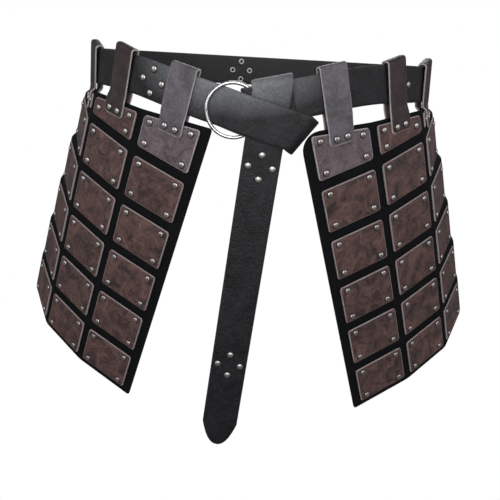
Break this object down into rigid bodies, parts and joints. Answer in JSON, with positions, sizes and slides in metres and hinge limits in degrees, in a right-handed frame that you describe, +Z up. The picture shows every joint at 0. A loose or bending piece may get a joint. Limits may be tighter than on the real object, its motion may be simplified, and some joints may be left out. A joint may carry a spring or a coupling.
{
  "type": "fauld",
  "caption": "Leather fauld: two hip guards of riveted plates hung by straps from a knotted ring belt.",
  "frame": {"origin": "middle of the waist loop at the belt's mid height", "axes": "+Z up, the wearer faces -Y, +X towards the wearer's left hip"},
  "size_m": [0.5826, 0.3161, 0.4153],
  "materials": {
    "belt": "black belt leather, satin",
    "backing": "black backing leather, matt",
    "plate": "waxed and rubbed brown leather",
    "hanger": "brown strap leather, pale cut edges",
    "rivet": "antiqued nickel",
    "ring": "polished nickel"
  },
  "bodies": {
    "belt": {"belt_strap": "belt", "belt_rivets": "rivet"},
    "ring": {"belt_ring": "ring"},
    "tail": {"belt_tail": "belt", "tail_rivets": "rivet"},
    "left_tasset": {"left_backing": "backing", "left_plate_rivets": "rivet", "left_hanger_rivets": "rivet", "left_plate_1_1": "plate", "left_plate_1_2": "plate", "left_plate_1_3": "plate", "left_plate_1_4": "plate", "left_plate_1_5": "plate", "left_plate_1_6": "plate", "left_plate_2_1": "plate", "left_plate_2_2": "plate", "left_plate_2_3": "plate", "left_plate_2_4": "plate", "left_plate_2_5": "plate", "left_plate_2_6": "plate", "left_plate_3_1": "plate", "left_plate_3_2": "plate", "left_plate_3_3": "plate", "left_plate_3_4": "plate", "left_plate_3_5": "plate", "left_plate_3_6": "plate", "left_hanger_1": "hanger", "left_hanger_2": "hanger", "left_hanger_3": "hanger"},
    "right_tasset": {"right_backing": "backing", "right_plate_rivets": "rivet", "right_hanger_rivets": "rivet", "right_plate_1_1": "plate", "right_plate_1_2": "plate", "right_plate_1_3": "plate", "right_plate_1_4": "plate", "right_plate_1_5": "plate", "right_plate_1_6": "plate", "right_plate_2_1": "plate", "right_plate_2_2": "plate", "right_plate_2_3": "plate", "right_plate_2_4": "plate", "right_plate_2_5": "plate", "right_plate_2_6": "plate", "right_plate_3_1": "plate", "right_plate_3_2": "plate", "right_plate_3_3": "plate", "right_plate_3_4": "plate", "right_plate_3_5": "plate", "right_plate_3_6": "plate", "right_hanger_1": "hanger", "right_hanger_2": "hanger", "right_hanger_3": "hanger"}
  },
  "joints": [
    {"name": "left_tasset_swing", "type": "hinge", "parent": "belt", "child": "left_tasset", "pos_m": [-0.1301, -0.09099, -0.02975], "axis": [-0.706, 0.6985, 0.1165], "range_deg": [0, 30], "deforming": ["left_hanger_1", "left_hanger_2", "left_hanger_3"]},
    {"name": "right_tasset_swing", "type": "hinge", "parent": "belt", "child": "right_tasset", "pos_m": [0.12962, -0.09119, -0.02774], "axis": [-0.71, -0.6986, -0.0885], "range_deg": [0, 30], "deforming": ["right_hanger_1", "right_hanger_2", "right_hanger_3"]},
    {"name": "tail_swing", "type": "hinge", "parent": "belt", "child": "tail", "pos_m": [0.0075, -0.1592, -0.06644], "axis": [-0.9952, 0, 0.0976], "range_deg": [-5, 60]},
    {"name": "ring_turn", "type": "hinge", "parent": "belt", "child": "ring", "pos_m": [-0.0225, -0.1526, -0.0305], "axis": [0, -1, 0], "continuous": true}
  ]
}
